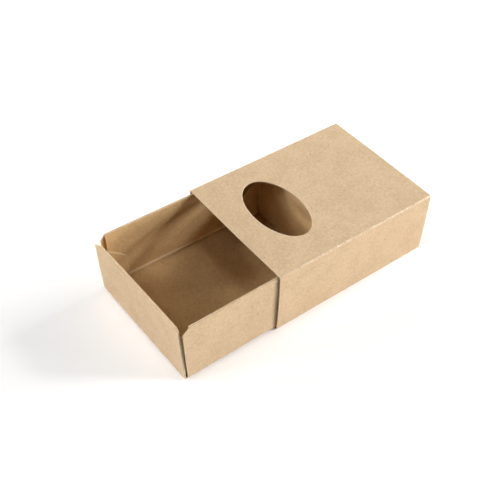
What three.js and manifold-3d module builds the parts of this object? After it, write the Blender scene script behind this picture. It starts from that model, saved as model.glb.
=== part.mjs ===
// A small drawer box folded from two sheets of kraft board: a sleeve with an oval window in its top,
// and a tray that slides through it. Millimetres, +Z up. The tray is pulled out towards -Y.
// The origin is the middle of the sleeve's underside.
import * as THREE from 'three';
import { mergeVertices } from 'three/addons/utils/BufferGeometryUtils.js';
import Module from 'manifold-3d';

// Board and creases
const boardThickness = 0.5;
const creaseInsideRadius = 0.3;  // of a folded corner of the sleeve or the tray's sides
const foldRoundShare = 0.8;      // outside of the sharper folds round an end wall, of the thickness

// Tray
const trayWidth = 58.5;
const trayLength = 79.6;
const trayHeight = 29.3;
const rollGap = 0.5;             // air between the two layers of a side wall
const rollInset = 2.4;           // the rolled layer stops this short of each end
const cornerCutLength = 2.2;     // slanted top corners of the outer side walls, along the wall
const cornerCutHeight = 2.9;     // and down it
const innerWallLift = 0.2;       // the inner layer's cut edge above the tray floor
const endWallDrop = 0.2;         // top edge of an end wall, below the side walls' crowns
const endWallCornerRadius = 1.2;
const endWallClearance = 0.3;    // each side, between an end wall and the side walls
const frontLean = THREE.MathUtils.degToRad(2.2);   // the front wall springs outwards

// Dust flaps, turned back from the end walls along the side walls
const flapLength = 10.5;
const flapRootDrop = 6.3;        // top of a flap at the crease, below its wall's top edge
const flapTipDrop = 14.7;        // and at the free end
const flapFootRise = 1.4;        // lower edge, from the crease to the free end
const flapFootClearance = 0.4;   // above the tray floor
const flapTipRadius = 1.8;

// Sleeve
const sleeveLength = 80;
const sideClearance = 0.35;      // each side of the tray
const floorClearance = 0.2;      // under the tray
const roofClearance = 0.3;       // over the tray
const glueThickness = 0.1;
const glueMargin = 1.5;          // bare board round the glue
const seamFlapHeight = 12;
const seamFlapTaper = 3.5;       // slanted ends of the glued flap
const seamEdgeLift = 0.2;        // the outer layer's cut edge above the table

// Window in the sleeve's top
const windowLength = 36.9;       // across the box
const windowWidth = 21.6;
const windowSetback = 22.7;      // from the sleeve's front edge to the window's middle
const windowShift = -0.9;        // the window's middle, left of the box's

const trayPullOut = 44;          // front of the tray ahead of the sleeve's front edge

const cutOverrun = 1;            // how far a cutting shape passes the board
const bendSteps = 2;
const windowSteps = 40;

// Sizes that follow from those
const creaseRadius = creaseInsideRadius + boardThickness;
const foldRadius = foldRoundShare * boardThickness;
const doubleWall = 2 * boardThickness + rollGap;
const rollRadius = doubleWall / 2;
const seamThickness = boardThickness + glueThickness;
const sleeveWidth = trayWidth + 2 * sideClearance + seamThickness + 2 * boardThickness;
const sleeveHeight = trayHeight + floorClearance + roofClearance + 2 * boardThickness;
const sleeveFront = -sleeveLength / 2;
const trayFront = sleeveFront - trayPullOut;
const trayMiddle = seamThickness / 2;
const trayUnderside = boardThickness + floorClearance;
const endWallWidth = trayWidth - 2 * (doubleWall + endWallClearance);
const endWallHeight = trayHeight - endWallDrop;
const flapRootHeight = endWallHeight - flapRootDrop;
const flapTipHeight = endWallHeight - flapTipDrop;

const quarterTurn = Math.PI / 2;
const eighthTurn = Math.PI / 4;

// Kraft board, a little paler where handling has rubbed it
const kraftTone = { outside: 0xd9bd98, inside: 0xcfb088, edge: 0xdec6a4 };

function kraft(tone) {
  return new THREE.MeshStandardMaterial({ color: tone, roughness: 0.88, metalness: 0 });
}

function piece(name, geometry, tone) {
  const mesh = new THREE.Mesh(geometry, kraft(tone));
  mesh.name = name;
  return mesh;
}

const wasm = await Module();
wasm.setup();

function toSolid(geometry) {
  const bare = geometry.clone();
  bare.deleteAttribute('normal');
  bare.deleteAttribute('uv');
  const merged = mergeVertices(bare);
  return new wasm.Manifold(new wasm.Mesh({
    numProp: 3,
    vertProperties: merged.attributes.position.array,
    triVerts: Uint32Array.from(merged.index.array),
  }));
}

function toGeometry(solid) {
  const mesh = solid.getMesh();
  const geometry = new THREE.BufferGeometry();
  geometry.setAttribute('position', new THREE.BufferAttribute(mesh.vertProperties, 3));
  geometry.setIndex(new THREE.BufferAttribute(mesh.triVerts, 1));
  geometry.computeVertexNormals();
  return geometry;
}

// A strip of board seen end on. It runs along x for its outside width, with its outer face at y = 0.
// Where an end is creased, the strip carries half of the rounded corner, up to the seam at 45 degrees.
function stripProfile(width, creaseAtStart, creaseAtEnd) {
  const seamAngle = quarterTurn + eighthTurn;
  const outline = new THREE.Shape();
  if (creaseAtStart) {
    outline.absarc(creaseRadius, -creaseRadius, creaseRadius, seamAngle, quarterTurn, true);
  } else {
    outline.moveTo(0, 0);
  }
  if (creaseAtEnd) {
    outline.absarc(width - creaseRadius, -creaseRadius, creaseRadius, quarterTurn, eighthTurn, true);
    outline.absarc(width - creaseRadius, -creaseRadius, creaseInsideRadius, eighthTurn, quarterTurn, false);
  } else {
    outline.lineTo(width, 0);
    outline.lineTo(width, -boardThickness);
  }
  if (creaseAtStart) {
    outline.absarc(creaseRadius, -creaseRadius, creaseInsideRadius, quarterTurn, seamAngle, false);
  } else {
    outline.lineTo(0, -boardThickness);
  }
  outline.closePath();
  return outline;
}

function runAlong(profile, length) {
  return new THREE.ExtrudeGeometry(profile, { depth: length, bevelEnabled: false, curveSegments: bendSteps });
}

// A die as tall as needed, drawn flat in the strip's face: x across the strip, y along its run.
function die(outline, steps) {
  const height = 2 * (creaseRadius + cutOverrun);
  const settings = { depth: height, bevelEnabled: false, curveSegments: steps };
  const cutter = new THREE.ExtrudeGeometry(outline, settings);
  cutter.rotateX(quarterTurn);
  cutter.translate(0, height / 2, 0);
  return toSolid(cutter);
}

function trimmed(geometry, outline) {
  return toGeometry(toSolid(geometry).intersect(die(outline, bendSteps)));
}

function pierced(geometry, outline, steps) {
  return toGeometry(toSolid(geometry).subtract(die(outline, steps)));
}

// Lays a strip in a cross-section: its start corner, and the way it runs from there
function place(mesh, x, height, turn) {
  mesh.position.set(x, height, 0);
  mesh.rotation.z = turn;
  return mesh;
}

const acrossTop = 0;
const downRight = -quarterTurn;
const acrossBottom = Math.PI;
const upLeft = quarterTurn;

// Cross-section in X and Z, run towards -Y from the given end
function crossSection(backEnd) {
  const section = new THREE.Group();
  section.rotation.x = quarterTurn;
  section.position.y = backEnd;
  return section;
}

function windowOutline() {
  const outline = new THREE.Shape();
  const across = sleeveWidth / 2 + windowShift;
  const along = sleeveLength - windowSetback;
  outline.absellipse(across, along, windowLength / 2, windowWidth / 2, 0, 2 * Math.PI, false, 0);
  return outline;
}

function sleeveTopPanel() {
  const panel = runAlong(stripProfile(sleeveWidth, true, true), sleeveLength);
  return piece('sleeve_top_panel', pierced(panel, windowOutline(), windowSteps), kraftTone.outside);
}

function sleeveRightPanel() {
  const panel = runAlong(stripProfile(sleeveHeight, true, true), sleeveLength);
  return piece('sleeve_right_panel', panel, kraftTone.outside);
}

function sleeveBottomPanel() {
  const panel = runAlong(stripProfile(sleeveWidth - seamThickness, true, true), sleeveLength);
  return piece('sleeve_bottom_panel', panel, kraftTone.outside);
}

function sleeveLeftPanel() {
  const panel = runAlong(stripProfile(sleeveHeight - seamEdgeLift, false, true), sleeveLength);
  return piece('sleeve_left_panel', panel, kraftTone.outside);
}

// The flap that closes the sleeve, turned up from the bottom panel and glued inside the left one
function seamFlap() {
  const outline = new THREE.Shape();
  outline.moveTo(-cutOverrun, 0);
  outline.lineTo(creaseRadius, 0);
  outline.lineTo(seamFlapHeight, seamFlapTaper);
  outline.lineTo(seamFlapHeight, sleeveLength - seamFlapTaper);
  outline.lineTo(creaseRadius, sleeveLength);
  outline.lineTo(-cutOverrun, sleeveLength);
  outline.closePath();
  const flap = runAlong(stripProfile(seamFlapHeight, true, false), sleeveLength);
  return piece('sleeve_glue_flap', trimmed(flap, outline), kraftTone.inside);
}

function seamGlue() {
  const height = seamFlapHeight - creaseRadius - 2 * glueMargin;
  const length = sleeveLength - 2 * (seamFlapTaper + glueMargin);
  const film = new THREE.BoxGeometry(glueThickness, height, length);
  const material = new THREE.MeshStandardMaterial({ color: 0xe9e0c6, roughness: 0.5, metalness: 0 });
  const mesh = new THREE.Mesh(film, material);
  mesh.name = 'sleeve_seam_glue';
  mesh.position.x = -sleeveWidth / 2 + boardThickness + glueThickness / 2;
  mesh.position.y = creaseRadius + glueMargin + height / 2;
  mesh.position.z = sleeveLength / 2;
  return mesh;
}

function sleeve() {
  const left = -sleeveWidth / 2;
  const right = sleeveWidth / 2;
  const section = crossSection(sleeveLength / 2);
  section.add(place(sleeveTopPanel(), left, sleeveHeight, acrossTop));
  section.add(place(sleeveRightPanel(), right, sleeveHeight, downRight));
  section.add(place(sleeveBottomPanel(), right, 0, acrossBottom));
  section.add(place(sleeveLeftPanel(), left, seamEdgeLift, upLeft));
  section.add(place(seamFlap(), left + seamThickness, 0, upLeft));
  section.add(seamGlue());
  return section;
}

function trayBase() {
  const length = trayLength - 2 * boardThickness;
  const panel = runAlong(stripProfile(trayWidth, true, true), length);
  const mesh = piece('tray_base_panel', panel, kraftTone.inside);
  place(mesh, trayWidth / 2, 0, acrossBottom);
  mesh.position.z = boardThickness;
  return mesh;
}

// Face of an outer side wall: its top corners are cut off at a slant, so that the tray slides in easily
function outerWallOutline(height) {
  const outline = new THREE.Shape();
  outline.moveTo(-cutOverrun, 0);
  outline.lineTo(height - cornerCutHeight, 0);
  outline.lineTo(height, cornerCutLength);
  outline.lineTo(height, trayLength - cornerCutLength);
  outline.lineTo(height - cornerCutHeight, trayLength);
  outline.lineTo(-cutOverrun, trayLength);
  outline.closePath();
  return outline;
}

function outerWall(side) {
  const height = trayHeight - rollRadius;
  const upright = runAlong(stripProfile(height, true, false), trayLength);
  return piece(`tray_${side}_outer_wall`, trimmed(upright, outerWallOutline(height)), kraftTone.outside);
}

// The crown that carries the board over from the outer layer of a side wall to the inner one
function rolledEdge(side) {
  const outline = new THREE.Shape();
  outline.absarc(0, 0, rollRadius, Math.PI, 0, true);
  outline.absarc(0, 0, rollRadius - boardThickness, 0, Math.PI, false);
  outline.closePath();
  const crown = runAlong(outline, trayLength - 2 * rollInset);
  const mesh = piece(`tray_${side}_rolled_edge`, crown, kraftTone.edge);
  mesh.position.z = rollInset;
  return mesh;
}

function innerWall(side) {
  const height = trayHeight - rollRadius - boardThickness - innerWallLift;
  const hanging = runAlong(stripProfile(height, false, false), trayLength - 2 * rollInset);
  const mesh = piece(`tray_${side}_inner_wall`, hanging, kraftTone.inside);
  mesh.position.z = rollInset;
  return mesh;
}

// One side wall: the outer layer, its crown and the inner layer that hangs from it, made for the left
// and turned end for end for the right
function sideWall(side) {
  const wall = new THREE.Group();
  wall.add(place(outerWall(side), -trayWidth / 2, 0, upLeft));
  const crown = rolledEdge(side);
  crown.position.x = -trayWidth / 2 + rollRadius;
  crown.position.y = trayHeight - rollRadius;
  wall.add(crown);
  const inner = innerWall(side);
  inner.position.x = -trayWidth / 2 + doubleWall;
  inner.position.y = trayHeight - rollRadius;
  inner.rotation.z = downRight;
  wall.add(inner);
  if (side === 'right') {
    wall.rotation.y = Math.PI;
    wall.position.z = trayLength;
  }
  return wall;
}

// Section through an end wall, outer face at y = 0, with its folds rounded on the outside
function foldedSection(length, foldedAtBothEnds) {
  const section = new THREE.Shape();
  section.absarc(foldRadius, foldRadius, foldRadius, Math.PI, Math.PI + quarterTurn, false);
  if (foldedAtBothEnds) {
    section.absarc(length - foldRadius, foldRadius, foldRadius, -quarterTurn, 0, false);
  } else {
    section.lineTo(length, 0);
  }
  section.lineTo(length, boardThickness);
  section.lineTo(0, boardThickness);
  section.closePath();
  return section;
}

function endWallFace() {
  const half = endWallWidth / 2;
  const shoulder = endWallHeight - endWallCornerRadius;
  const face = new THREE.Shape();
  face.moveTo(-half, 0);
  face.lineTo(half, 0);
  face.absarc(half - endWallCornerRadius, shoulder, endWallCornerRadius, 0, quarterTurn, false);
  face.absarc(-half + endWallCornerRadius, shoulder, endWallCornerRadius, quarterTurn, Math.PI, false);
  face.closePath();
  return face;
}

// An end wall stands on the crease at its outer foot, which is the group's origin. Its foot and its
// upright edges are folds, and its top corners are cut round.
function endWall(end) {
  const blank = runAlong(endWallFace(), boardThickness);
  blank.rotateX(quarterTurn);
  blank.translate(0, boardThickness, 0);

  const uprightFolds = runAlong(foldedSection(endWallWidth, true), endWallHeight);
  uprightFolds.translate(-endWallWidth / 2, 0, 0);

  const footFold = runAlong(foldedSection(endWallHeight, false), endWallWidth);
  footFold.rotateY(-quarterTurn);
  footFold.translate(endWallWidth / 2, 0, 0);

  const wall = toSolid(blank).intersect(toSolid(uprightFolds)).intersect(toSolid(footFold));
  return piece(`${end}_end_wall`, toGeometry(wall), kraftTone.outside);
}

// A dust flap's outline: x away from the end wall, y up. Its top slopes down to a rounded tip.
function flapOutline() {
  const slope = Math.atan2(flapRootHeight - flapTipHeight, flapLength);
  const tipX = flapLength - flapTipRadius;
  const tipY = flapTipHeight - flapTipRadius * Math.tan((quarterTurn - slope) / 2);
  const outline = new THREE.Shape();
  outline.moveTo(0, 0);
  outline.lineTo(flapLength, flapFootRise);
  outline.absarc(tipX, tipY, flapTipRadius, 0, quarterTurn - slope, false);
  outline.lineTo(0, flapRootHeight);
  outline.closePath();
  return outline;
}

// A dust flap hangs from the inner edge of its wall's upright fold. outward is 1 on the wall's +X side.
function dustFlap(name, outward) {
  const flap = runAlong(flapOutline(), boardThickness);
  flap.rotateX(quarterTurn);
  flap.rotateZ(quarterTurn);
  const mesh = piece(name, flap, kraftTone.inside);
  mesh.position.x = outward > 0 ? endWallWidth / 2 - boardThickness : -endWallWidth / 2;
  mesh.position.y = boardThickness;
  mesh.position.z = boardThickness + flapFootClearance;
  return mesh;
}

// The front end as it stands; the back end is the same, turned about
function endOfTray(end, plusSide, minusSide) {
  const group = new THREE.Group();
  group.add(endWall(end));
  group.add(dustFlap(`${end}_${plusSide}_dust_flap`, 1));
  group.add(dustFlap(`${end}_${minusSide}_dust_flap`, -1));
  return group;
}

function tray() {
  const section = crossSection(trayLength);
  section.add(trayBase(), sideWall('left'), sideWall('right'));

  const front = endOfTray('front', 'right', 'left');
  front.rotation.x = frontLean;

  const back = endOfTray('back', 'left', 'right');
  back.rotation.z = Math.PI;
  back.position.y = trayLength;

  const whole = new THREE.Group();
  whole.add(section, front, back);
  whole.position.set(trayMiddle, trayFront, trayUnderside);
  return whole;
}

const box = new THREE.Group();
box.add(sleeve(), tray());

export default box;
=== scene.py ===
import math

import bpy
from mathutils import Matrix, Vector, geometry, noise


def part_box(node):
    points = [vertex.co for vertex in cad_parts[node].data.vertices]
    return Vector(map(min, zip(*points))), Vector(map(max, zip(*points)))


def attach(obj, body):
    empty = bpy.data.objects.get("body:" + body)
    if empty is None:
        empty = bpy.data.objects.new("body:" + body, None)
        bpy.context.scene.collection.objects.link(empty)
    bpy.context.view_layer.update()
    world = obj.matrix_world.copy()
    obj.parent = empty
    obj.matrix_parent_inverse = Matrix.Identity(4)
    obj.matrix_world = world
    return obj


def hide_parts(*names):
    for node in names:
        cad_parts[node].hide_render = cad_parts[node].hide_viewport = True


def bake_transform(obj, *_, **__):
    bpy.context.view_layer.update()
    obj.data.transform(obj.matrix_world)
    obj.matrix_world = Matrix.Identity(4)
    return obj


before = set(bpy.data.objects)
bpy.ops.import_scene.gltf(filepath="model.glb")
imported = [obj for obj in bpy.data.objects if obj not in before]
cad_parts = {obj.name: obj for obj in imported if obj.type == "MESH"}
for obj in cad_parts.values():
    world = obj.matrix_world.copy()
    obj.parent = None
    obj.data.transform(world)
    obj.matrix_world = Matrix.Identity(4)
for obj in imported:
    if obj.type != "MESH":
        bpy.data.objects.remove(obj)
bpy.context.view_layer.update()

mm = 0.001
quarter = math.pi / 2
print("kraft drawer box: frame loaded")


# A few lines that turn node sockets into values, so that shader and geometry maths read as sums.
class Wire:
    def __init__(self, graph, socket):
        self.graph = graph
        self.socket = socket

    def __add__(self, other):
        return self.graph.maths("ADD", self, other)

    def __sub__(self, other):
        return self.graph.maths("SUBTRACT", self, other)

    def __rsub__(self, other):
        return self.graph.maths("SUBTRACT", other, self)

    def __mul__(self, other):
        return self.graph.maths("MULTIPLY", self, other)

    def __truediv__(self, other):
        return self.graph.maths("DIVIDE", self, other)

    def __rtruediv__(self, other):
        return self.graph.maths("DIVIDE", other, self)

    __radd__ = __add__
    __rmul__ = __mul__


class Made:
    def __init__(self, graph, node):
        self.graph = graph
        self.node = node

    def __getitem__(self, key):
        return Wire(self.graph, self.node.outputs[key])


class Graph:
    def __init__(self, tree):
        self.tree = tree

    # settings first, because some of them change which sockets a node has
    def node(self, kind, settings=None, inputs=None):
        node = self.tree.nodes.new(kind)
        for key, value in (settings or {}).items():
            setattr(node, key, value)
        for key, value in (inputs or {}).items():
            if isinstance(value, Wire):
                self.tree.links.new(value.socket, node.inputs[key])
            else:
                node.inputs[key].default_value = value
        return Made(self, node)

    def maths(self, operation, *values):
        return self.node("ShaderNodeMath", {"operation": operation}, dict(enumerate(values)))[0]

    def vectors(self, operation, *values):
        return self.node("ShaderNodeVectorMath", {"operation": operation}, dict(enumerate(values)))[0]

    # 0 below low, 1 above high, and a soft slope between; low above high turns it round
    def between(self, value, low, high):
        limits = {"Value": value, "From Min": low, "From Max": high}
        return self.node("ShaderNodeMapRange", {"interpolation_type": "SMOOTHSTEP"}, limits)["Result"]

    def blendColour(self, share, under, over, blend="MIX"):
        settings = {"data_type": "RGBA", "blend_type": blend, "clamp_factor": True}
        return self.node("ShaderNodeMix", settings, {0: share, 6: under, 7: over})[2]

    def surface(self, inputs):
        shader = self.node("ShaderNodeBsdfPrincipled", None, inputs)
        self.node("ShaderNodeOutputMaterial", None, {"Surface": shader[0]})


def emptyGraph(owner):
    owner.use_nodes = True
    owner.node_tree.nodes.clear()
    return Graph(owner.node_tree)


def placed(name, data):
    made = bpy.data.objects.new(name, data)
    bpy.context.scene.collection.objects.link(made)
    return made


def hump(value, low, high):
    share = (value - low) / (high - low)
    return math.sin(math.pi * share) if 0 < share < 1 else 0.0


def smoothly(share):
    share = min(max(share, 0.0), 1.0)
    return share * share * (3 - 2 * share)


# The blank: a flat sheet cut to an outline, with softened cut edges, laid in X and Y.
# The face that ends up outside the box is at z = 0 and the other face is one thickness below.
board = {
    "edgeRound": 0.09 * mm,      # how far the die softens a cut edge
    "edgeSteps": 3,
    "cutStep": 0.8 * mm,         # spacing of points along a cut
    "cutWander": 0.022 * mm,     # unevenness of a cut
    "wanderSize": 1.7 * mm,
    "creaseClear": 0.04 * mm,    # free length of a cut beside the point where a crease column meets it
    "rimRows": ((0.22 * mm, 0.45), (0.55 * mm, 0.08)),   # rows beside a cut: how far in, how worn
    "rimClear": 0.8,             # share of that distance which they keep from every cut
    "fieldStep": 2.2 * mm,       # spacing in the middle of a panel
    "fieldClear": 0.75 * mm,     # free space between those points and the cuts
    "creaseSteps": 9,
    "innerShift": 0.37,          # moves the inner face's flat layout away from the outer one's
}
thickness = (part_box("back_end_wall")[1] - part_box("back_end_wall")[0]).y


def turned(vector):
    return Vector((-vector.y, vector.x))


def splitEdges(loop, columns):
    points = []
    for start, end in zip(loop, loop[1:] + loop[:1]):
        run = end - start
        count = max(1, math.ceil(run.length / board["cutStep"]))
        shares = {i / count for i in range(count)}
        if abs(run.x) > board["edgeRound"]:
            clear = board["creaseClear"] / abs(run.x)
            crossings = {(column - start.x) / run.x for column in columns}
            crossings = {share for share in crossings if 0.0005 < share < 0.9995}
            shares = {share for share in shares if all(abs(share - c) > clear for c in crossings)}
            shares |= crossings | {0}
        points += [start + run * share for share in sorted(shares)]
    return points


# Unit offsets from a loop's points into the board, longer at the corners
def mitres(loop):
    found = []
    for before, here, after in zip(loop[-1:] + loop[:-1], loop, loop[1:] + loop[:1]):
        mitre = turned((here - before).normalized()) + turned((after - here).normalized())
        found.append(mitre / max(mitre.length_squared / 2, 0.45))
    return found


def insideLoop(point, loop):
    inside = False
    for a, b in zip(loop, loop[1:] + loop[:1]):
        if (a.y > point.y) != (b.y > point.y):
            crossing = a.x + (point.y - a.y) / (b.y - a.y) * (b.x - a.x)
            inside = inside != (point.x < crossing)
    return inside


def nearness(point, loops):
    return min((point - spot).length for loop in loops for spot in loop)


# loops[0] is the outline, anticlockwise; the others are holes, clockwise. columns are the crease lines'
# places in X; foldMark says how much of a fold a place in X holds, and swell lifts a point of a panel.
def cutBlank(name, loops, columns, foldMark, swell, seed):
    loops = [splitEdges([Vector(p) for p in loop], columns) for loop in loops]
    inward = [mitres(loop) for loop in loops]
    for loop, offsets in zip(loops, inward):
        for i, offset in enumerate(offsets):
            spot = Vector((loop[i].x, loop[i].y, seed)) / board["wanderSize"]
            loop[i] = loop[i] + offset * board["cutWander"] * (noise.noise(spot) - 0.5)

    soft = board["edgeRound"]
    rims = [[p + n * soft for p, n in zip(loop, offsets)] for loop, offsets in zip(loops, inward)]
    flat = [p for rim in rims for p in rim]
    wear = [1.0] * len(flat)
    edges = []
    for rim in rims:
        first = len(edges)
        edges += [(first + i, first + (i + 1) % len(rim)) for i in range(len(rim))]

    def keep(point, gap, worn):
        if insideLoop(point, loops[0]) and not any(insideLoop(point, hole) for hole in loops[1:]):
            if nearness(point, loops) > gap:
                flat.append(point)
                wear.append(worn)

    for row, worn in board["rimRows"]:
        for loop, offsets in zip(loops, inward):
            for p, n in zip(loop, offsets):
                keep(p + n * row, row * board["rimClear"], worn)
    low = Vector((min(p.x for p in loops[0]), min(p.y for p in loops[0])))
    high = Vector((max(p.x for p in loops[0]), max(p.y for p in loops[0])))
    lines = sorted(columns)
    stops = [low.x] + lines + [high.x]
    for left, right in zip(stops, stops[1:]):
        parts = math.ceil((right - left) / board["fieldStep"])
        lines += [left + (right - left) * i / parts for i in range(1, parts)]
    rows = math.ceil((high.y - low.y) / board["fieldStep"])
    for x in sorted(lines):
        for j in range(1, rows):
            keep(Vector((x, low.y + (high.y - low.y) * j / rows)), board["fieldClear"], 0.0)

    points, _, triangles, sources, _, _ = geometry.delaunay_2d_cdt(flat, edges, [], 1, 1e-7)
    origin = [min(s) if s else 0 for s in sources]
    faces = []
    for triangle in triangles:
        middle = sum((points[i] for i in triangle), Vector((0, 0))) / len(triangle)
        if not any(insideLoop(middle, rim) for rim in rims[1:]):
            a, b, c = (points[i] for i in triangle)
            faces.append(tuple(triangle) if (b - a).cross(c - a) > 0 else tuple(reversed(triangle)))

    # both faces of the sheet, then the rings that round its cut edges off
    count = len(points)
    places = [(p.x, p.y, depth) for depth in (0, -thickness) for p in points]
    marks = [(wear[origin[i]], side) for side in (1, 0) for i in range(count)]
    corners = faces + [tuple(count + i for i in reversed(face)) for face in faces]
    at = {origin[i]: i for i in range(count) if sources[i]}
    arc = [quarter * i / board["edgeSteps"] for i in range(1, board["edgeSteps"] + 1)]
    profile = [(soft * (1 - math.sin(a)), -soft * (1 - math.cos(a))) for a in arc]
    profile += [(inset, -thickness - depth) for inset, depth in reversed(profile)]
    depths = [0] + [depth for _, depth in profile] + [-thickness]
    rimLayout = {}
    first = 0
    for loop, offsets in zip(loops, inward):
        total = len(loop)
        ring = [at[first + i] for i in range(total)]
        rings = [ring]
        for inset, depth in profile:
            rings.append(list(range(len(places), len(places) + total)))
            for p, n in zip(loop, offsets):
                spot = p + n * inset
                places.append((spot.x, spot.y, depth))
                marks.append((1.0, 0.5))
        rings.append([count + i for i in ring])
        for k, (upper, lower) in enumerate(zip(rings, rings[1:])):
            for i in range(total):
                j = (i + 1) % total
                rows = ((j, depths[k]), (i, depths[k]), (i, depths[k + 1]), (j, depths[k + 1]))
                rimLayout[len(corners)] = [loop[m] + offsets[m] * depth for m, depth in rows]
                corners.append((upper[j], upper[i], lower[i], lower[j]))
        first += total

    mesh = bpy.data.meshes.new(name)
    mesh.from_pydata(places, [], corners)
    uv = mesh.uv_layers.new(name="sheet")
    for polygon in mesh.polygons:
        shift = board["innerShift"] if polygon.index >= len(faces) else 0.0
        for k, corner in enumerate(polygon.loop_indices):
            if polygon.index in rimLayout:
                uv.data[corner].uv = rimLayout[polygon.index][k]
            else:
                x, y, _ = places[mesh.loops[corner].vertex_index]
                uv.data[corner].uv = (x + shift, y)
    note = mesh.attributes.new("marks", "FLOAT_VECTOR", "POINT")   # worn, fold, outer face
    for i, (worn, side) in enumerate(marks):
        note.data[i].vector = (worn, foldMark(places[i][0]), side)
    for vertex in mesh.vertices:
        vertex.co.z += swell(vertex.co.x, vertex.co.y)
    mesh.update()
    return placed(name, mesh)


# Folding, as a rule: past a crease line the sheet turns about it. Each fold reads where a point was
# on the flat blank, so the folds can follow each other from the far edge of the sheet inwards.
def foldingGroup():
    tree = bpy.data.node_groups.new("foldOver", "GeometryNodeTree")
    tree.interface.new_socket("Sheet", in_out="INPUT", socket_type="NodeSocketGeometry")
    for label in ("Crease Start", "Turn", "Inside Radius", "Thickness", "Side"):
        tree.interface.new_socket(label, in_out="INPUT", socket_type="NodeSocketFloat")
    tree.interface.new_socket("Sheet", in_out="OUTPUT", socket_type="NodeSocketGeometry")
    graph = Graph(tree)
    given = graph.node("NodeGroupInput")
    start, turn, radius, deep, side = (given[i] for i in range(1, 6))
    blank = graph.node("GeometryNodeInputNamedAttribute", {"data_type": "FLOAT_VECTOR"},
                       {"Name": "blankPlace"})[0]
    flatX = graph.node("ShaderNodeSeparateXYZ", None, {0: blank})[0] * side
    here = graph.node("ShaderNodeSeparateXYZ", None, {0: graph.node("GeometryNodeInputPosition")[0]})
    zone = turn * (radius + deep * 0.5)
    along = graph.maths("MINIMUM", graph.maths("MAXIMUM", flatX - start, 0.0), zone)
    angle = turn * along / zone
    arm = radius + deep + here[2]
    beyond = here[0] * side - start - along
    sine = graph.maths("SINE", angle)
    cosine = graph.maths("COSINE", angle)
    newX = (start + arm * sine + beyond * cosine) * side
    newZ = arm * cosine - beyond * sine - deep - radius
    place = graph.node("ShaderNodeCombineXYZ", None, {0: newX, 1: here[1], 2: newZ})[0]
    moved = graph.node("GeometryNodeSetPosition", None, {"Geometry": given[0], "Position": place})
    graph.node("NodeGroupOutput", None, {0: moved[0]})
    return tree


foldOver = foldingGroup()


# A tree with one fold for each crease; creases are (name, start, inside radius, side)
def foldedSheet(blank, creases, material, place):
    tree = bpy.data.node_groups.new(blank.name + "_folds", "GeometryNodeTree")
    tree.interface.new_socket("Geometry", in_out="INPUT", socket_type="NodeSocketGeometry")
    tree.interface.new_socket("Geometry", in_out="OUTPUT", socket_type="NodeSocketGeometry")
    wanted = {}

    def ask(label, value, kind="NodeSocketFloat"):
        socket = tree.interface.new_socket(label, in_out="INPUT", socket_type=kind)
        wanted[socket.identifier] = value

    ask("Thickness", thickness)
    for label, start, radius, _ in creases:
        ask(label + " Start", start)
        ask(label + " Turn", quarter)
        ask(label + " Radius", radius)
    ask("Board", material, "NodeSocketMaterial")

    graph = Graph(tree)
    given = graph.node("NodeGroupInput")
    flatPlace = graph.node("GeometryNodeInputPosition")[0]
    sheet = graph.node("GeometryNodeStoreNamedAttribute", {"data_type": "FLOAT_VECTOR", "domain": "POINT"},
                       {"Geometry": given[0], "Name": "blankPlace", "Value": flatPlace})[0]
    for k, (_, _, _, side) in enumerate(creases):
        start, turn, radius = (given[2 + 3 * k + i] for i in range(3))
        sheet = graph.node("GeometryNodeGroup", {"node_tree": foldOver},
                           {0: sheet, 1: start, 2: turn, 3: radius, 4: given[1], 5: float(side)})[0]
    cleared = graph.node("GeometryNodeRemoveAttribute", None, {"Geometry": sheet, "Name": "blankPlace"})[0]
    real = graph.node("GeometryNodeRealizeInstances", None, {0: cleared})[0]
    painted = graph.node("GeometryNodeSetMaterial", None,
                         {"Geometry": real, "Material": given[len(wanted)]})
    graph.node("NodeGroupOutput", None, {0: painted[0]})

    fold = blank.modifiers.new("folds", "NODES")
    fold.node_group = tree
    for identifier, value in wanted.items():
        fold[identifier] = value
    made = plainMesh(blank)
    made.data.transform(place)
    return made


# The evaluated result as a plain mesh object at the origin, with no modifier left
def plainMesh(source):
    view = bpy.context.evaluated_depsgraph_get()
    mesh = bpy.data.meshes.new_from_object(source.evaluated_get(view), preserve_all_data_layers=True,
                                           depsgraph=view)
    name = source.name
    bpy.data.objects.remove(source)
    mesh.name = name
    return placed(name, mesh)


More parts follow.
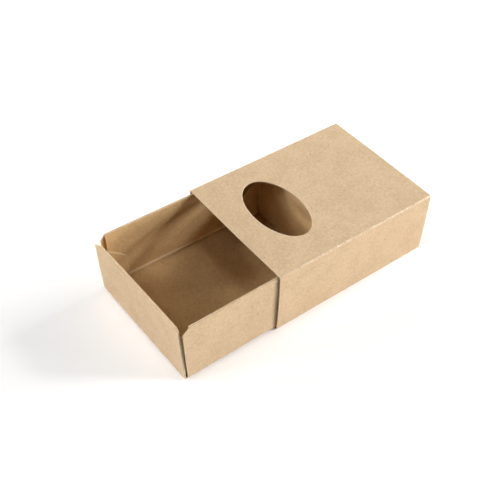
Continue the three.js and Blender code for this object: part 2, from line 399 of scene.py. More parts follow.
# Board finish: uncoated kraft, read from the sheet's own flat layout so that it runs on over the folds
kraftLook = {
    "tone": (0.560, 0.398, 0.238),      # linear light, as everywhere below
    "paleTone": (0.700, 0.540, 0.360),
    "darkTone": (0.430, 0.290, 0.160),
    "fibreTone": (0.2365, 0.1595, 0.0880),
    "fleckTone": (0.1505, 0.1015, 0.0560),
    "coreTone": (0.690, 0.545, 0.380),  # inside the board, seen at its cut edges
    # pale tone of rubbed folds and cut edges, also used for the painted highlights inside folds and along
    # the inner layers' lower edges
    "wornTone": (0.860, 0.720, 0.530),
    "insideTint": (1.0, 0.93, 0.76),    # painted shade: the inside faces are made browner, for the deeper shade inside the box
    # size, detail and roughness of each noise
    "noises": {
        "clouds": (9 * mm, 3.0, 0.55),
        "mottle": (1.3 * mm, 4.0, 0.62),
        "grain": (0.32 * mm, 3.0, 0.7),
        "rubbing": (1.1 * mm, 4.0, 0.7),
        "layers": (0.16 * mm, 2.0, 0.5),
        "wander": (2.5 * mm, 1.0, 0.5),
    },
    # what the noises paint: none at the first value and all of it at the second, how strongly, which tone
    "coats": (
        ("clouds", 0.30, 0.72, 0.42, "darkTone"),
        ("mottle", 0.42, 0.80, 0.42, "paleTone"),
        ("mottle", 0.52, 0.22, 0.30, "darkTone"),
        ("grain", 0.42, 0.80, 0.34, "paleTone"),
        ("grain", 0.52, 0.22, 0.38, "darkTone"),
    ),
    # each kind of fibre: spacing, length, width, bend, shift, how strong, which tone, how high
    "fibres": (
        (2.1 * mm, 1.9 * mm, 0.075 * mm, 0.8, (0.0, 0.0, 0.0), 0.45, "paleTone", 0.35),
        (1.302 * mm, 1.1 * mm, 0.055 * mm, 1.0, (0.0071, 0.0113, 0.0), 0.35, "paleTone", 0.25),
        (3.4 * mm, 2.6 * mm, 0.07 * mm, 0.9, (0.0157, 0.0041, 0.0), 0.50, "fibreTone", 0.20),
    ),
    "wanderReach": 1.0 * mm,            # how far the fibres stray from their straight cells
    "fleckPitch": 5.5 * mm,
    "fleckStrength": 0.75,
    "innerFoldStrength": 0.6,
    "layerStrength": 0.45,
    "mottleHeight": 0.35,
    "grainHeight": 0.45,
    "relief": 0.035 * mm,
    "reliefStrength": 0.55,
    "roughness": 0.86,
    "roughnessSwing": 0.08,
}


# one short fibre in each cell, each with a direction and a bend of its own
def fibres(graph, spot, pitch, length, width, kinks):
    cell = graph.node("ShaderNodeTexVoronoi", {"voronoi_dimensions": "2D", "feature": "F1"},
                      {"Vector": spot, "Scale": 1 / pitch, "Randomness": 1.0})
    dice = graph.node("ShaderNodeSeparateColor", None, {0: cell["Color"]})
    gap = graph.node("ShaderNodeSeparateXYZ", None, {0: graph.vectors("SUBTRACT", spot, cell["Position"])})
    angle = dice[0] * (2 * math.pi)
    cosine, sine = graph.maths("COSINE", angle), graph.maths("SINE", angle)
    along = gap[0] * cosine + gap[1] * sine
    across = gap[1] * cosine - gap[0] * sine
    bend = (dice[1] - 0.5) * kinks * along * along / length
    reach = graph.between(graph.maths("ABSOLUTE", along), length * 0.5, length * 0.35)
    slim = graph.between(graph.maths("ABSOLUTE", across + bend), width, width * 0.25)
    return reach * slim * graph.between(dice[2], 0.15, 0.75)


def kraftBoard(name, seed, insidePaintedShade):
    material = bpy.data.materials.new(name)
    graph = emptyGraph(material)
    look = kraftLook
    sheet = graph.node("ShaderNodeUVMap", {"uv_map": "sheet"})[0]
    spot = graph.vectors("ADD", sheet, (0.013 * seed, 0.029 * seed, 0.0))
    marks = graph.node("ShaderNodeAttribute", {"attribute_name": "marks"})["Vector"]
    marked = graph.node("ShaderNodeSeparateXYZ", None, {0: marks})
    cut, fold, side = marked[0], marked[1], marked[2]

    def colour(label):
        return look[label] + (1,)

    def noisy(label):
        size, detail, rough = look["noises"][label]
        return graph.node("ShaderNodeTexNoise", {"noise_dimensions": "2D"}, {
            "Vector": spot, "Scale": 1 / size, "Detail": detail, "Roughness": rough})

    noises = {label: noisy(label)[0] for label in ("clouds", "mottle", "grain", "rubbing", "layers")}
    tone = colour("tone")
    for label, low, high, strength, over in look["coats"]:
        tone = graph.blendColour(graph.between(noises[label], low, high) * strength, tone, colour(over))
    height = noises["mottle"] * look["mottleHeight"] + noises["grain"] * look["grainHeight"]

    # fibres, and a few dark flecks
    wander = graph.vectors("SUBTRACT", noisy("wander")["Color"], (0.5, 0.5, 0.5))
    reach = look["wanderReach"]
    bent = graph.vectors("ADD", spot, graph.vectors("MULTIPLY", wander, (reach, reach, 0.0)))
    for pitch, length, width, kinks, shift, strength, over, rise in look["fibres"]:
        strand = fibres(graph, graph.vectors("ADD", bent, shift), pitch, length, width, kinks)
        tone = graph.blendColour(strand * strength, tone, colour(over))
        height = height + strand * rise
    flecks = graph.node("ShaderNodeTexVoronoi", {"voronoi_dimensions": "2D", "feature": "F1"}, {
        "Vector": bent, "Scale": 1 / look["fleckPitch"], "Randomness": 1.0})
    fleckDice = graph.node("ShaderNodeSeparateColor", None, {0: flecks["Color"]})
    fleck = graph.between(flecks["Distance"], 0.055, 0.02) * graph.between(fleckDice[0], 0.45, 0.7)
    tone = graph.blendColour(fleck * look["fleckStrength"], tone, colour("fleckTone"))

    # rubbed folds: an uneven pale line along the outside of each, and a faint pale line inside it, which is
    # a painted highlight
    rub = graph.between(noises["rubbing"], 0.36, 0.62)
    outside = graph.between(side, 0.4, 0.6)
    patchy = (rub * 0.75 + 0.12) * (graph.between(noises["clouds"], 0.38, 0.58) * 0.65 + 0.35)
    rubbed = graph.maths("MAXIMUM", patchy, graph.between(fold, 0.9, 1.5) * 0.8)
    tone = graph.blendColour(graph.between(fold, 0.05, 0.65) * outside * rubbed, tone, colour("wornTone"))
    # painted highlight: the inside of each fold is made paler
    inner = graph.between(fold, 0.15, 0.8) * (1 - outside)
    tone = graph.blendColour(inner * look["innerFoldStrength"], tone, colour("wornTone"))

    # cut edges show the paler core in thin layers, and rub off on the faces beside them
    layered = graph.between(noises["layers"], 0.35, 0.7) * look["layerStrength"]
    core = graph.blendColour(layered, colour("coreTone"), colour("tone"))
    rim = graph.between(cut, 0.04, 0.75) * (graph.between(rub, 0.0, 1.0) * 0.35 + 0.5)
    tone = graph.blendColour(rim, tone, core)
    # painted shade: the inside faces are multiplied by a darker, browner tint, standing in for the shade
    # inside the box
    paintedShade = tuple(c * insidePaintedShade for c in look["insideTint"]) + (1,)
    tone = graph.blendColour(1 - outside, tone, paintedShade, "MULTIPLY")
    tone = graph.blendColour(graph.between(cut, 1.2, 1.8), tone, colour("wornTone"))   # edges marked 2: rubbed pale, and a painted highlight

    swing = look["roughnessSwing"]
    shine = graph.between(noises["grain"], 0.2, 0.8) * swing + (look["roughness"] - swing / 2)
    bump = graph.node("ShaderNodeBump", None, {
        "Strength": look["reliefStrength"], "Distance": look["relief"], "Height": height})
    graph.surface({
        "Base Color": tone, "Roughness": shine, "Normal": bump[0], "Specular IOR Level": 0.22,
        "Sheen Weight": 0.06, "Sheen Roughness": 0.6})
    return material


glueLook = {
    "tone": (0.74, 0.66, 0.47, 1),
    "paleTone": (0.88, 0.83, 0.70, 1),
    "streakSize": 3 * mm,
    "streakPull": (4.0, 1.0, 1.0),
    "relief": 0.02 * mm,
}


def gluePaint():
    material = bpy.data.materials.new("driedGlue")
    graph = emptyGraph(material)
    sheet = graph.node("ShaderNodeUVMap", {"uv_map": "sheet"})[0]
    streaks = graph.node("ShaderNodeTexNoise", {"noise_dimensions": "2D"}, {
        "Vector": graph.vectors("MULTIPLY", sheet, glueLook["streakPull"]),
        "Scale": 1 / glueLook["streakSize"], "Detail": 4.0})[0]
    tone = graph.blendColour(graph.between(streaks, 0.3, 0.7), glueLook["tone"], glueLook["paleTone"])
    bump = graph.node("ShaderNodeBump", None, {
        "Strength": 0.4, "Distance": glueLook["relief"], "Height": streaks})
    graph.surface({
        "Base Color": tone, "Roughness": streaks * 0.25 + 0.3, "Normal": bump[0]})
    return material


# painted shade: the sleeve's inside faces are darkened more than the tray's
sleeveKraft = kraftBoard("sleeveKraft", seed=1, insidePaintedShade=0.55)
trayKraft = kraftBoard("trayKraft", seed=5, insidePaintedShade=1.0)
glueFilm = gluePaint()
print("kraft drawer box: board and glue finishes made")


def boxOf(*nodes):
    corners = [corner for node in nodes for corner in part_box(node)]
    low = Vector([min(corner[k] for corner in corners) for k in range(3)])
    high = Vector([max(corner[k] for corner in corners) for k in range(3)])
    return low, high


# The length that a square fold takes up, along the middle of the board
def foldRun(radius):
    return quarter * (radius + thickness / 2)


def creaseColumns(start, run, side):
    return [side * (start + run * i / board["creaseSteps"]) for i in range(board["creaseSteps"] + 1)]


# How near a place in X is to the middle of a crease, from 0 to 1, times the crease's strength
def foldMarks(zones, strengths=None):
    strengths = strengths or [1.0] * len(zones)

    def mark(x):
        near = [(1 - abs(side * x - start - run / 2) / (run / 2)) * strength
                for (start, run, side), strength in zip(zones, strengths)]
        return max([0.0] + near)
    return mark


def arcPoints(middle, radius, fromAngle, toAngle, count):
    angles = [fromAngle + (toAngle - fromAngle) * i / count for i in range(count + 1)]
    return [Vector((middle[0] + radius * math.cos(a), middle[1] + radius * math.sin(a))) for a in angles]


# Points of the arc that leaves start towards the corner and comes in to the end from it
def curveBy(start, corner, end, count):
    shares = [i / count for i in range(count + 1)]
    return [start.lerp(corner, share).lerp(corner.lerp(end, share), share) for share in shares]


def stand(piece, slotName, *nodes):
    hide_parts(*nodes)
    for polygon in piece.data.polygons:
        polygon.use_smooth = True
    return piece


# The sleeve: one sheet, folded round from its top panel
sleeveCut = {
    "insideRadius": 0.3 * mm,
    "windowLength": 36.9 * mm,    # across the box
    "windowWidth": 21.6 * mm,
    "windowSetback": 22.7 * mm,   # from the front edge to the window's middle
    "windowShift": -0.9 * mm,
    "windowSteps": 150,
    "glueFlapTaper": 3.5 * mm,
    "topSwell": 0.30 * mm,
    "topTurn": 0.35,              # in front of this share of its length the top sinks, behind it rises
    "sideSwell": 0.22 * mm,
    "bottomSwell": 0.088 * mm,
    "mouthSwell": 0.22 * mm,
    "mouthDepth": 16 * mm,
    "mouthDroop": 0.28 * mm,      # the top panel's strip in front of the window hangs a little
    "droopDepth": 19 * mm,
    "unevenness": 0.10 * mm,
    "unevenSize": 21 * mm,
    "leftUneven": 0.2,            # the share of it that the glued left panel keeps
}


def foldSleeve():
    cut = sleeveCut
    low, high = boxOf("sleeve_top_panel", "sleeve_right_panel", "sleeve_bottom_panel", "sleeve_left_panel")
    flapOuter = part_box("sleeve_glue_flap")[0].x
    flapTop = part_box("sleeve_glue_flap")[1].z
    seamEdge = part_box("sleeve_left_panel")[0].z
    radius = cut["insideRadius"]
    bend = radius + thickness
    run = foldRun(radius)
    half = (high.x - low.x) / 2 - bend
    rightStart = half + run + (high.z - low.z) - 2 * bend
    bottomStart = rightStart + run + (high.x - flapOuter) - 2 * bend
    flapStart = bottomStart + run
    flapEnd = flapStart + flapTop - low.z - bend
    leftEnd = -(half + run + high.z - bend - seamEdge)
    taper = cut["glueFlapTaper"]
    outline = [(leftEnd, low.y), (flapStart, low.y), (flapEnd, low.y + taper),
               (flapEnd, high.y - taper), (flapStart, high.y), (leftEnd, high.y)]
    middle = Vector((cut["windowShift"], low.y + cut["windowSetback"]))
    halfLong, halfWide = cut["windowLength"] / 2, cut["windowWidth"] / 2
    around = [-2 * math.pi * i / cut["windowSteps"] for i in range(cut["windowSteps"])]
    window = [(middle.x + halfLong * math.cos(a), middle.y + halfWide * math.sin(a)) for a in around]
    zones = [(half, run, 1), (rightStart, run, 1), (bottomStart, run, 1), (half, run, -1)]
    columns = [column for zone in zones for column in creaseColumns(*zone)]

    def swell(x, y):
        deep = y - low.y
        onTop = hump(x, -half, half)
        onRight = hump(x, half + run, rightStart)
        lift = cut["topSwell"] * onTop * (deep / (high.y - low.y) - cut["topTurn"])
        lift += cut["sideSwell"] * onRight * (0.5 - hump(y, low.y, high.y))
        lift += cut["mouthSwell"] * hump(x, half, rightStart + run) * smoothly(1 - deep / cut["mouthDepth"])
        lift += cut["bottomSwell"] * hump(x, rightStart + run, bottomStart)
        lift -= cut["mouthDroop"] * max(0.0, 1 - deep / cut["droopDepth"]) ** 2 * onTop
        rough = noise.noise(Vector((x, y, 0.3)) / cut["unevenSize"]) * cut["unevenness"]
        return lift + rough * (onTop + onRight + hump(x, leftEnd, -half - run) * cut["leftUneven"])

    blank = cutBlank("sleeve_board_sheet", [outline, window], columns, foldMarks(zones), swell, 1)
    creases = [("Glue Flap", bottomStart, radius, 1), ("Bottom", rightStart, radius, 1),
               ("Right", half, radius, 1), ("Left", half, radius, -1)]
    sheet = foldedSheet(blank, creases, sleeveKraft, Matrix.Translation((0, 0, high.z)))
    stand(sheet, "sleeve_board", "sleeve_top_panel", "sleeve_right_panel", "sleeve_bottom_panel",
          "sleeve_left_panel", "sleeve_glue_flap")
    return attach(sheet, "sleeve")


foldSleeve()

# The dried glue between the two layers of the sleeve's seam: a thin film with a wandering outline
glueCut = {
    "columns": 96,
    "rows": 12,
    "wander": 0.9 * mm,
    "wanderSize": 6 * mm,
    "rise": 0.3,          # how uneven its thickness is
    "riseSize": 2.4 * mm,
    "rimLoss": 0.85,      # the share of its thickness that is gone at its rim
    "rimPowers": (6, 20),   # how late it thins out, towards its long rims and towards its ends
}


def makeGlue():
    low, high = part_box("sleeve_seam_glue")
    columns, rows = glueCut["columns"], glueCut["rows"]
    toRim, toEnd = glueCut["rimPowers"]
    middle, deep = (low + high) / 2, (high.x - low.x) / 2
    places, patterns, faces = [], [], []
    for face in (1, -1):
        for i in range(columns + 1):
            along = low.y + (high.y - low.y) * i / columns
            for j in range(rows + 1):
                share = 2 * j / rows - 1
                edge = noise.noise(Vector((along, share, 0)) / glueCut["wanderSize"]) * 0.5 + 0.5
                reach = (high.z - low.z) / 2 - glueCut["wander"] * edge * hump(i, 0, columns)
                lump = noise.noise(Vector((along, share * reach, 0.7)) / glueCut["riseSize"])
                thin = 1 + (lump - 1) * glueCut["rise"]
                thin *= 1 - glueCut["rimLoss"] * max(abs(share) ** toRim, abs(2 * i / columns - 1) ** toEnd)
                places.append((middle.x + face * deep * thin, along, middle.z + share * reach))
                patterns.append((along, middle.z + share * reach))
    wide = rows + 1
    total = (columns + 1) * wide
    for i in range(columns):
        for j in range(rows):
            a, b, c, d = (i * wide + j, (i + 1) * wide + j, (i + 1) * wide + j + 1, i * wide + j + 1)
            faces += [(a, b, c, d), (total + d, total + c, total + b, total + a)]
    rim = [i * wide for i in range(columns + 1)] + [columns * wide + j for j in range(1, wide)]
    rim += [i * wide + rows for i in range(columns - 1, -1, -1)] + list(range(rows - 1, 0, -1))
    for a, b in zip(rim, rim[1:] + rim[:1]):
        faces.append((b, a, total + a, total + b))
    mesh = bpy.data.meshes.new("seam_glue_film")
    mesh.from_pydata(places, [], faces)
    uv = mesh.uv_layers.new(name="sheet")
    for corner in mesh.loops:
        uv.data[corner.index].uv = patterns[corner.vertex_index]
    mesh.materials.append(glueFilm)
    film = stand(placed("seam_glue_film", mesh), "seam_glue", "sleeve_seam_glue")
    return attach(film, "sleeve")


makeGlue()
print("kraft drawer box: sleeve folded")

# The tray's base and rolled side walls, one sheet turned up from the base on both sides
trayCut = {
    "insideRadius": 0.3 * mm,
    "crownInside": 0.03 * mm,     # the two folds of a wall's crown are sharper
    "crownWidth": 1.12 * mm,      # pressed flat, so that the two layers nearly touch
    "livingFold": 0.04 * mm,      # inside radius where an end wall turns
    "hingeLap": 0.10 * mm,        # softened edges that meet at a living fold cross by this much
    "cornerCutHeight": 2.7 * mm,
    # of the side walls behind the end walls' outer faces, left and right, each at its foot and at its top
    "frontSetbacks": ((1.5 * mm, 1.25 * mm), (1.35 * mm, 0.0)),
    "backSetbacks": ((0.75 * mm, 0.75 * mm), (0.75 * mm, 0.75 * mm)),
    "crownSetback": 0.75 * mm,    # of the front ends of the crowns and inner layers behind the CAD ones
    "innerLift": 0.9 * mm,        # the inner layer's cut edge above the CAD one
    "innerPress": 0.08 * mm,      # its lower part leans against the outer layer
    "pressGrowth": 1.3,
    "endSprings": {"left": 0.35 * mm, "right": 0.6 * mm},   # the inner layers stand off at their ends
    "springLength": 9 * mm,
    "springHeight": 3 * mm,
    # how far up from its lower cut edge the inner layer is painted pale: rubbed, and a painted highlight
    "rubbedEdge": 0.6 * mm,
    "foldWear": (1.0, 0.3, 0.3),  # of the foot and of the crown's outer and inner fold; it also sets the painted highlight inside each fold
    "unevenness": 0.08 * mm,
    "unevenSize": 17 * mm,
}

# The tray's front is not quite square: it spreads, skews and twists a little towards its left corner
frontSet = {
    "reach": 42 * mm,        # from the front wall back to where the sleeve holds the tray straight
    "growth": 0.9,           # the share of the reach in which all of this grows
    "spread": 0.007,
    "skew": 0.0225,
    "forward": 0.10 * mm,
    "roll": 0.004,
    "sag": 0.06 * mm,
    "moreLean": 0.13 * mm,   # at the front wall's top
    "twist": 0.006,
    "rack": 0.5 * mm,        # the front wall's top leans to the left
    "rackPivot": 0.35,       # the share of its height that stays where it was
    "flare": 1.6 * mm,       # and its right edge leans more than that
    "belly": 0.25 * mm,      # and its left end bulges above the foot
    "bellyRise": 1.8 * mm,
    # what belongs to one end grows towards it: by how much over the width, and what the middle has
    "leftBlend": (-1.8, 0.1),
    "rightBlend": (2.4, -0.2),
}


def settleFront(piece, leaning):
    low, high = boxOf("tray_base_panel", "tray_left_outer_wall", "tray_right_outer_wall")
    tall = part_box("tray_left_rolled_edge")[1].z - low.z
    middle = (low.x + high.x) / 2
    wide = high.x - low.x
    for vertex in piece.data.vertices:
        place = vertex.co
        across = place.x - middle
        toFront = low.y + frontSet["reach"] - place.y
        share = smoothly(toFront / (frontSet["reach"] * frontSet["growth"]))
        rise = max(0.0, place.z - low.z)
        up = rise / tall
        place.x += across * frontSet["spread"] * share
        place.y += (across * frontSet["skew"] - frontSet["forward"]) * share
        place.z -= (across * frontSet["roll"] + frontSet["sag"]) * share
        if leaning:
            bulge = (1 - math.exp(-rise / frontSet["bellyRise"])) * max(0.0, 1 - up * up)
            toLeft, toRight = (smoothly(across / wide * slope + start)
                               for slope, start in (frontSet["leftBlend"], frontSet["rightBlend"]))
            place.x -= (up - frontSet["rackPivot"]) * (frontSet["rack"] + frontSet["flare"] * toRight)
            place.y -= up * (frontSet["moreLean"] - frontSet["twist"] * across)
            place.y -= bulge * toLeft * frontSet["belly"]
    piece.data.update()


def foldTray():
    cut = trayCut
    low, high = boxOf("tray_base_panel", "tray_left_outer_wall", "tray_right_outer_wall",
                      "tray_left_rolled_edge")
    crownLow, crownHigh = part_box("tray_left_rolled_edge")
    radius, crownRadius = cut["insideRadius"], cut["crownInside"]
    bend = radius + thickness
    crownBend = crownRadius + thickness
    run = foldRun(radius)
    crownRun = foldRun(crownRadius)
    half = (high.x - low.x) / 2 - bend
    wallStart = half + run
    crownStart = wallStart + (high.z - low.z) - bend - crownBend
    innerFold = crownStart + crownRun + cut["crownWidth"] - 2 * crownBend
    innerStart = innerFold + crownRun
    innerEnd = innerStart + high.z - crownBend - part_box("tray_left_inner_wall")[0].z - cut["innerLift"]
    baseFront = low.y + thickness + cut["livingFold"]
    baseBack = high.y - thickness - cut["livingFold"]
    cutStart = crownStart - cut["cornerCutHeight"] + crownBend / 2
    step = half + run / 2

    def oneSide(frontSetback, backSetback):
        crownFront = crownLow.y + cut["crownSetback"]
        return [(step, baseFront), (step, low.y + frontSetback[0]), (cutStart, low.y + frontSetback[1]),
                (crownStart, crownFront), (innerEnd, crownFront), (innerEnd, crownHigh.y),
                (crownStart, crownHigh.y), (cutStart, high.y - backSetback[1]),
                (step, high.y - backSetback[0]), (step, baseBack)]

    setbacks = list(zip(cut["frontSetbacks"], cut["backSetbacks"]))
    outline = oneSide(*setbacks[0]) + [(-x, y) for x, y in reversed(oneSide(*setbacks[1]))]
    zones = [(start, length, side) for side in (1, -1) for start, length in
             ((half, run), (crownStart, crownRun), (innerFold, crownRun))]
    columns = [column for zone in zones for column in creaseColumns(*zone)]

    def swell(x, y):
        down = abs(x) - innerStart
        lean = -cut["innerPress"] * smoothly(down / (innerEnd - innerStart) * cut["pressGrowth"])
        toEnd = 1 - min(y - crownLow.y, crownHigh.y - y) / cut["springLength"]
        spring = cut["endSprings"]["left" if x > 0 else "right"]
        lean += spring * smoothly(toEnd) * smoothly(down / cut["springHeight"])
        rough = noise.noise(Vector((x, y, 2.3)) / cut["unevenSize"]) * cut["unevenness"]
        return lean + rough * (hump(abs(x), innerStart, innerEnd) + hump(abs(x), wallStart, crownStart))

    marking = foldMarks(zones, cut["foldWear"] * 2)
    blank = cutBlank("tray_board_sheet", [outline], columns, marking, swell, 2)
    # the inner layers take the inside faces' painted shade tint, and their lower cut edges are painted
    # pale: rubbed, and a painted highlight along the floor junction
    marks = blank.data.attributes["marks"].data
    for vertex in blank.data.vertices:
        if abs(vertex.co.x) > innerFold + crownRun / 2:
            worn, fold, _ = marks[vertex.index].vector
            if abs(vertex.co.x) > innerEnd - cut["rubbedEdge"]:
                worn = 2.0
            marks[vertex.index].vector = (worn, fold, 0.0)
    creases = []
    for side, label in ((1, "Left"), (-1, "Right")):
        creases += [(label + " Crown Inner", innerFold, crownRadius, side),
                    (label + " Crown Outer", crownStart, crownRadius, side),
                    (label + " Wall", half, radius, side)]
    place = Matrix.Translation(((low.x + high.x) / 2, 0, low.z)) @ Matrix.Rotation(math.pi, 4, "Y")
    sheet = foldedSheet(blank, creases, trayKraft, place)
    layers = ("outer_wall", "rolled_edge", "inner_wall")
    walls = [f"tray_{side}_{layer}" for side in ("left", "right") for layer in layers]
    settleFront(sheet, False)
    stand(sheet, "tray_board", "tray_base_panel", *walls)
    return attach(sheet, "tray")


foldTray()
print("kraft drawer box: tray folded")

# An end wall with its living fold at the foot, and the dust flaps that turn back from its sides.
# Each is made in the wall's own upright place, with its outer foot at the origin, and then set down.
endCut = {
    "frontInsets": (0.15 * mm, 0.85 * mm),   # of its side edges from the tray's, left and right
    "backInsets": (0.45 * mm, 0.45 * mm),
    "frontCorners": ((5.6 * mm, 3.3 * mm), (0.6 * mm, 1.0 * mm)),   # top corners cut: along and down
    "backCorners": ((1.6 * mm, 1.5 * mm), (1.6 * mm, 1.5 * mm)),
    "cornerRadius": 0.5 * mm,
    "bow": 0.15 * mm,            # the middle of a wall's top stays back from its corners
    "bowGrowth": 1.5,
    "frontFlapTops": (25.5 * mm, 26.0 * mm),   # at their folds, above the foot
    "backFlapTops": (23.7 * mm, 23.7 * mm),
    "flapShoulder": 21.9 * mm,   # where a flap has stepped in beside the side wall
    "shoulderStart": 0.4,        # the share of the step after which its top falls to the shoulder
    "flapArch": 1.2 * mm,
    "flapTipHeight": 14.0 * mm,
    "flapTipRadius": 1.8 * mm,
    "flapTipSlope": 1.25,        # how much steeper than straight the top comes to the tip
    "flapFootRise": 1.4 * mm,
    "flapMore": 0.6 * mm,        # longer than the CAD flap
    "flapFold": 0.06 * mm,       # inside radius of its fold
    # the flap fold's rubbed line outside, and its painted highlight inside
    "flapWear": 2.0,
    # how far it goes straight back from its fold, then the length of its step round the inner layer's end
    "frontFlapSteps": ((0.0, 1.25 * mm), (0.0, 0.9 * mm)),
    "backFlapSteps": ((0.7 * mm, 1.6 * mm), (0.7 * mm, 1.6 * mm)),
    "frontFlapGaps": (0.22 * mm, 0.60 * mm),   # between a flap and the inner layer
    "backFlapGaps": (0.22 * mm, 0.22 * mm),
    "flapCurl": 0.30 * mm,       # the free end springs off the side wall
    "curlGrowth": 1.6,
}


def roundedCorner(before, corner, after, radius):
    inward, outward = (before - corner).normalized(), (after - corner).normalized()
    reach = radius / math.tan(inward.angle(outward) / 2)
    return curveBy(corner + inward * reach, corner, corner + outward * reach, 4)


# sides are given as (-1, how far its edge is from the middle, top corner, flap top) and the same for +1;
# the flat sheet lies with its +Y along the wall's -X
def endWallSheet(end, place, sides, tall, flapLow):
    soft = trayCut["livingFold"]
    bend = thickness + soft
    run = foldRun(soft)

    def up(height):
        return run + height - bend

    # one side's edge from the middle of the top down to the foot
    def edge(way, half, corner, flapTop):
        along, down = corner
        notch = half - thickness - endCut["flapFold"]
        shoulder, hip = Vector((up(tall), way * (half - along))), Vector((up(tall - down), way * half))
        top = roundedCorner(Vector((up(tall), 0)), shoulder, hip, endCut["cornerRadius"])
        stops = ((up(flapTop), half), (up(flapTop), notch), (up(flapLow), notch), (up(flapLow), half),
                 (-trayCut["hingeLap"], half))
        return top + [hip] + [Vector((x, way * y)) for x, y in stops]

    outline = edge(1, *sides[0][1:]) + list(reversed(edge(-1, *sides[1][1:])))
    reach = max(half for _, half, _, _ in sides)

    def swell(x, y):
        return -endCut["bow"] * (1 - (y / reach) ** 2) * max(0.0, x / up(tall)) ** endCut["bowGrowth"]

    columns = creaseColumns(0, run, 1)
    blank = cutBlank(f"{end}_wall_sheet", [outline], columns, foldMarks([(0, run, 1)]), swell, 3)
    layout = Matrix(((0, -1, 0, 0), (-1, 0, 0, bend), (0, 0, -1, 0), (0, 0, 0, 1)))
    sheet = foldedSheet(blank, [("Foot", 0.0, soft, 1)], trayKraft, place @ layout)
    if end == "front":
        settleFront(sheet, True)
    stand(sheet, "tray_board", f"{end}_end_wall")
    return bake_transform(sheet)


# way is the flap's side of the wall; steps are its straight run and the length of its step, and step is
# how far it steps in
def dustFlapSheet(end, label, way, place, half, flapLow, flapTop, reach, steps, step):
    soft = endCut["flapFold"]
    bend = thickness + soft
    run = foldRun(soft)
    flapEnd = run + reach + endCut["flapMore"] - bend
    tip, tipHeight = endCut["flapTipRadius"], endCut["flapTipHeight"]
    straight = run + steps[0]
    bent = straight + steps[1]
    shoulder = Vector((bent, endCut["flapShoulder"]))
    slope = math.atan2(shoulder.y - tipHeight, flapEnd - bent) * endCut["flapTipSlope"]
    centre = (flapEnd - tip, tipHeight - tip * math.tan((quarter - slope) / 2))
    tipTurn = arcPoints(centre, tip, 0, quarter - slope, 8)
    arch = shoulder.lerp(tipTurn[-1], 0.5) + Vector((0, endCut["flapArch"]))
    lap = -trayCut["hingeLap"]
    outline = [Vector((lap, flapLow)), Vector((run, flapLow)),
               Vector((flapEnd, flapLow + endCut["flapFootRise"]))]
    outline += tipTurn + curveBy(tipTurn[-1], arch, shoulder, 10)[1:]
    outline += [Vector((straight + steps[1] * endCut["shoulderStart"], flapTop)), Vector((lap, flapTop))]
    if way < 0:
        outline = [Vector((-p.x, p.y)) for p in reversed(outline)]

    def swell(x, y):
        past = max(0.0, (abs(x) - run) / (flapEnd - run))
        curl = endCut["flapCurl"] * past ** endCut["curlGrowth"]
        return -curl - step * smoothly((abs(x) - straight) / steps[1])

    columns = creaseColumns(0, run, way)
    marking = foldMarks([(0, run, way)], [endCut["flapWear"]])
    blank = cutBlank(f"{end}_{label}_flap_sheet", [outline], columns, marking, swell, 4)
    root = half - bend
    layout = Matrix(((1, 0, 0, way * root), (0, 0, -1, 0), (0, 1, 0, 0), (0, 0, 0, 1)))
    sheet = foldedSheet(blank, [("Upright", 0.0, soft, way)], trayKraft, place @ layout)
    if end == "front":
        settleFront(sheet, True)
    stand(sheet, "tray_board", f"{end}_{label}_dust_flap")
    middle = (flapLow + flapTop) / 2
    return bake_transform(sheet, f"{end}_end", f"{end}_{label}_flap",
                    start=place @ Vector((way * root, 0, middle)),
                    end=place @ Vector((way * (half - step / 2), bend + steps[0] + steps[1] / 2, middle)))


def foldEnds():
    wallLow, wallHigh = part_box("back_end_wall")
    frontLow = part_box("front_end_wall")[0]
    low, high = boxOf("tray_left_outer_wall", "tray_right_outer_wall")
    foot = wallLow.z
    tall = wallHigh.z - foot
    middle = (low.x + high.x) / 2
    lean = math.asin((low.y - frontLow.y) / tall)
    places = {
        "front": Matrix.Translation((middle, low.y, foot)) @ Matrix.Rotation(lean, 4, "X"),
        "back": Matrix.Translation((middle, wallHigh.y, foot)) @ Matrix.Rotation(math.pi, 4, "Z"),
    }
    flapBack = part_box("back_left_dust_flap")[0]
    reach = wallHigh.y - flapBack.y
    flapLow = flapBack.z - foot
    innerFace = (high.x - low.x) / 2 - trayCut["crownWidth"]
    for end, place in places.items():
        halves = [(high.x - low.x) / 2 - inset for inset in endCut[end + "Insets"]]
        sides = list(zip((-1, 1), halves, endCut[end + "Corners"], endCut[end + "FlapTops"]))
        endWallSheet(end, place, sides, tall, flapLow)
        for k, (way, half, _, flapTop) in enumerate(sides):
            label = "right" if (way > 0) == (end == "front") else "left"
            step = half - innerFace + endCut[end + "FlapGaps"][k] + trayCut["endSprings"][label]
            steps = endCut[end + "FlapSteps"][k]
            dustFlapSheet(end, label, way, place, half, flapLow, flapTop, reach, steps, step)


foldEnds()
print("kraft drawer box: end walls and dust flaps folded")

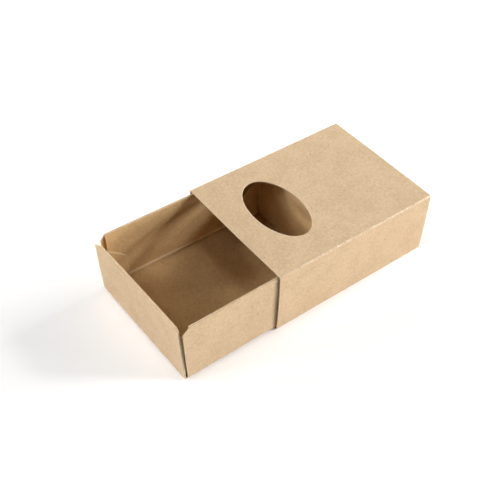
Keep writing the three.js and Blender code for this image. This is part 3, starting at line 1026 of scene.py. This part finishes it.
# Floor, light and camera
studio = {
    "cameraAround": 51.696, "cameraAbove": 45.626, "cameraRoll": 2.073,   # degrees
    "lens": 60.387, "sensor": 36.0, "clip": (0.01, 20),
    "aside": 24.437 * mm, "raised": 2.277 * mm, "away": 370.56 * mm,   # the origin, seen from the camera
    "floorReach": 3.0,
    "floorDrop": 0.02 * mm,              # keeps the floor clear of the sleeve's underside
    "floorTone": (0.95, 0.95, 0.95, 1),
    "floorGlow": (0.085, 0.085, 0.085, 1),
    "farGlow": (1.0, 1.0, 1.0, 1),       # far off the floor fades into the white ground
    "farStart": 0.45, "farEnd": 1.5,
    "lightAim": (0, -0.02, 0.015),
    "lightAway": 1.2,
    # name: around, above, size, watts
    "softboxes": {
        "keyBox": (140, 28, 0.18, 6.5),
        "lowKeyBox": (150, 20, 0.18, 7.4),
        "backBox": (180, 6, 0.24, 29.0),
        "rightBox": (128, 6, 0.16, 4.1),
        "leftBox": (280, 28, 0.24, 6.2),
        "lowLeftBox": (280, 6, 0.24, 5.8),
        "frontLeftBox": (320, 28, 0.24, 4.8),
        "lowFrontBox": (340, 12, 0.24, 5.1),
        "topBox": (0, 88, 0.24, 1.45),
        "highFrontBox": (0, 60, 0.24, 1.1),
    },
}


# The way from the box to a place at these angles in degrees: 0 around is in front, 90 to the right
def wayOut(around, above):
    a, e = math.radians(around), math.radians(above)
    return Vector((math.sin(a) * math.cos(e), -math.cos(a) * math.cos(e), math.sin(e)))


def makeFloor():
    reach = studio["floorReach"]
    mesh = bpy.data.meshes.new("studioFloor")
    corners = [(-reach, -reach, 0), (reach, -reach, 0), (reach, reach, 0), (-reach, reach, 0)]
    mesh.from_pydata(corners, [], [(0, 1, 2, 3)])
    mesh.transform(Matrix.Translation((0, 0, -studio["floorDrop"])))
    paper = bpy.data.materials.new("floorPaper")
    graph = emptyGraph(paper)
    spot = graph.node("ShaderNodeTexCoord")["Object"]
    away = graph.node("ShaderNodeVectorMath", {"operation": "LENGTH"}, {0: spot})["Value"]
    far = graph.between(away, studio["farStart"], studio["farEnd"])
    glow = graph.blendColour(far, studio["floorGlow"], studio["farGlow"])
    graph.surface({
        "Base Color": studio["floorTone"], "Roughness": 0.9, "Specular IOR Level": 0.1,
        "Emission Color": glow, "Emission Strength": 1.0})
    mesh.materials.append(paper)
    placed("studioFloor", mesh)


def makeCamera():
    back = wayOut(studio["cameraAround"], studio["cameraAbove"])
    right = Vector((0, 0, 1)).cross(back).normalized()
    up = back.cross(right)
    roll = math.radians(studio["cameraRoll"])
    sine, cosine = math.sin(roll), math.cos(roll)
    right, up = right * cosine + up * sine, up * cosine - right * sine
    data = bpy.data.cameras.new("photoCamera")
    data.lens, data.sensor_width, data.sensor_fit = studio["lens"], studio["sensor"], "HORIZONTAL"
    data.clip_start, data.clip_end = studio["clip"]
    camera = placed("photoCamera", data)
    place = -right * studio["aside"] - up * studio["raised"] + back * studio["away"]
    turn = Matrix((right, up, back)).transposed().to_4x4()
    camera.matrix_world = Matrix.Translation(place) @ turn
    bpy.context.scene.camera = camera


# Softboxes on a dome round the box
def makeLights():
    for name, (around, above, size, watts) in studio["softboxes"].items():
        out = wayOut(around, above)
        data = bpy.data.lights.new(name, "AREA")
        data.shape, data.size, data.energy = "DISK", size, watts
        light = placed(name, data)
        light.location = out * studio["lightAway"] + Vector(studio["lightAim"])
        light.rotation_mode = "QUATERNION"
        light.rotation_quaternion = out.to_track_quat("Z", "Y")
    # the white ground behind everything is seen, but gives no light
    world = bpy.data.worlds.new("studioAir")
    graph = emptyGraph(world)
    seen = graph.node("ShaderNodeLightPath")["Is Camera Ray"]
    ground = graph.node("ShaderNodeBackground", None, {"Color": studio["farGlow"], "Strength": seen})
    graph.node("ShaderNodeOutputWorld", None, {"Surface": ground[0]})
    bpy.context.scene.world = world


makeFloor()
makeCamera()
makeLights()
bpy.context.scene.view_settings.view_transform = "Standard"
print("kraft drawer box: studio set")
